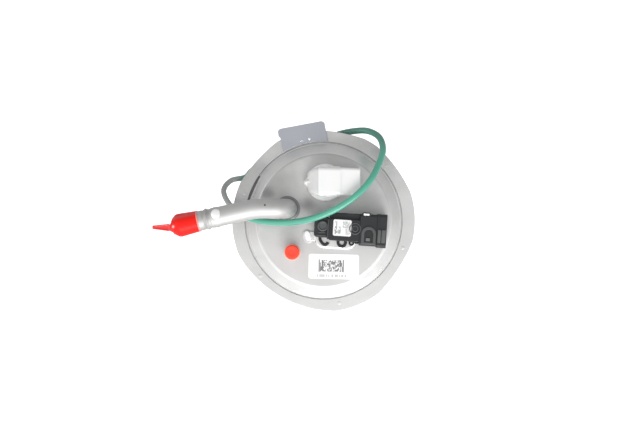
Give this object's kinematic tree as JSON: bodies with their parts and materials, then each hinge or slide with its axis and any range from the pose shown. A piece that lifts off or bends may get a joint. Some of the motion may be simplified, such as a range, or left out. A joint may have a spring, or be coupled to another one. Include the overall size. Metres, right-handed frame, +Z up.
{
  "type": "fuel pump module",
  "caption": "Round steel tank flange with a capped bent vent pipe, feed tube, connector, pressure sensor, loose green seal, sprung reservoir, pump and level float",
  "frame": {"origin": "centre of the reservoir's foot pad, on the flange axis, with the reservoir at the bottom of its travel", "axes": "+Z up along the flange axis, +X the way both electrical sockets face, -X the way the vent pipe runs, +Y towards the index tab"},
  "size_m": [0.2121, 0.1574, 0.2542],
  "materials": {
    "cover_steel": "satin",
    "tab_steel": "satin",
    "tube_steel": "satin",
    "bracket_steel": "polished",
    "spring_steel": "satin",
    "rod_steel": "polished",
    "cap_red": "gloss",
    "nylon_natural": "satin",
    "nylon_black": "satin",
    "label_white": "satin",
    "seal_green": "satin",
    "rubber_black": "matte",
    "acetal_white": "satin",
    "acetal_black": "satin",
    "terminal_tin": "satin",
    "brass": "satin",
    "copper": "satin",
    "magnet": "matte",
    "carbon": "matte",
    "hose_black": "satin",
    "wire": "satin",
    "strainer_fabric": "matte",
    "card_ceramic": "matte",
    "float_foam": "matte",
    "shell_zinc": "satin",
    "phenolic": "satin"
  },
  "bodies": {
    "cover": {"flange_cover": "cover_steel", "index_tab": "tab_steel", "vent_pipe": "tube_steel", "feed_tube": "tube_steel", "bulkhead_connector": "nylon_natural", "connector_terminals": "terminal_tin", "connector_gasket": "rubber_black", "connector_retainer": "spring_steel", "sensor_bracket": "bracket_steel", "sensor_grommet": "rubber_black", "pressure_sensor": "nylon_black", "sensor_terminals": "terminal_tin", "sensor_label": "label_white", "id_label": "label_white", "tank_seal": "seal_green", "guide_rods": "rod_steel", "rod_retaining_clips": "spring_steel", "lift_springs": "spring_steel", "vent_valve_housing": "acetal_white", "vent_valve_base": "acetal_white", "vent_valve_spring": "spring_steel", "feed_hose": "hose_black", "harness_plug": "nylon_black", "wiring_leads": "wire"},
    "reservoir": {"reservoir_cup": "acetal_white", "reservoir_lid": "acetal_white", "guide_bushings": "acetal_black", "pump_shell": "shell_zinc", "pump_inlet_plate": "phenolic", "pump_impeller_housing": "phenolic", "pump_end_cap": "acetal_black", "pump_terminals": "terminal_tin", "pump_magnets": "magnet", "pump_brushes": "carbon", "pump_isolator": "rubber_black", "outlet_tee": "acetal_black", "check_valve_spring": "spring_steel", "inlet_strainer": "strainer_fabric", "inlet_umbrella_valve": "rubber_black", "base_strainer": "strainer_fabric", "jet_pump": "acetal_black", "regulator_can": "shell_zinc", "regulator_cover": "shell_zinc", "regulator_spring": "spring_steel", "return_tube": "hose_black", "sender_housing": "acetal_black", "resistor_card": "card_ceramic", "lid_connector": "nylon_black", "reservoir_leads": "wire"},
    "vent_pipe_cap": {"vent_pipe_cap": "cap_red"},
    "feed_port_cap": {"feed_port_cap": "cap_red"},
    "vent_valve_float": {"vent_valve_float": "acetal_white"},
    "pump_rotor": {"pump_armature": "copper", "pump_impeller": "phenolic"},
    "check_valve_poppet": {"check_valve_poppet": "brass"},
    "regulator_valve": {"regulator_valve": "brass"},
    "float_arm": {"float_arm": "rod_steel", "float_arm_hub": "acetal_white", "wiper_contact": "brass"},
    "float": {"float": "float_foam"}
  },
  "joints": [
    {"name": "reservoir_slide", "type": "slide", "parent": "cover", "child": "reservoir", "axis": [0, 0, 1], "range_m": [0, 0.04], "stiffness_N_per_m": 700, "springref_m": -0.06, "deforming": ["lift_springs", "feed_hose", "wiring_leads"]},
    {"name": "float_arm_swing", "type": "hinge", "parent": "reservoir", "child": "float_arm", "pos_m": [0, -0.06, 0.105], "axis": [0, -1, 0], "range_deg": [0, 90]},
    {"name": "float_level", "type": "hinge", "parent": "float_arm", "child": "float", "pos_m": [0.02627, -0.0667, 0.02416], "axis": [0, -1, 0], "range_deg": [-90, 0]},
    {"name": "pump_spin", "type": "hinge", "parent": "reservoir", "child": "pump_rotor", "pos_m": [-0.003, -0.003, 0.06], "axis": [0, 0, 1], "continuous": true},
    {"name": "check_valve_lift", "type": "slide", "parent": "reservoir", "child": "check_valve_poppet", "axis": [0, 0, 1], "range_m": [0, 0.002], "stiffness_N_per_m": 60, "springref_m": -0.004, "deforming": ["check_valve_spring"]},
    {"name": "regulator_lift", "type": "slide", "parent": "reservoir", "child": "regulator_valve", "axis": [0, 0, 1], "range_m": [0, 0.0015], "stiffness_N_per_m": 4000, "springref_m": -0.006, "deforming": ["regulator_spring"]},
    {"name": "vent_float_lift", "type": "slide", "parent": "cover", "child": "vent_valve_float", "axis": [0, 0, 1], "range_m": [0, 0.0043], "deforming": ["vent_valve_spring"]},
    {"name": "vent_cap_pull", "type": "slide", "parent": "cover", "child": "vent_pipe_cap", "axis": [-0.9753, -0.2162, -0.045], "range_m": [0, 0.045]},
    {"name": "feed_cap_pull", "type": "slide", "parent": "cover", "child": "feed_port_cap", "axis": [0, 0, 1], "range_m": [0, 0.03]}
  ],
  "couplings": [
    {"joint": "float_level", "follows": "float_arm_swing", "ratio": -1}
  ]
}
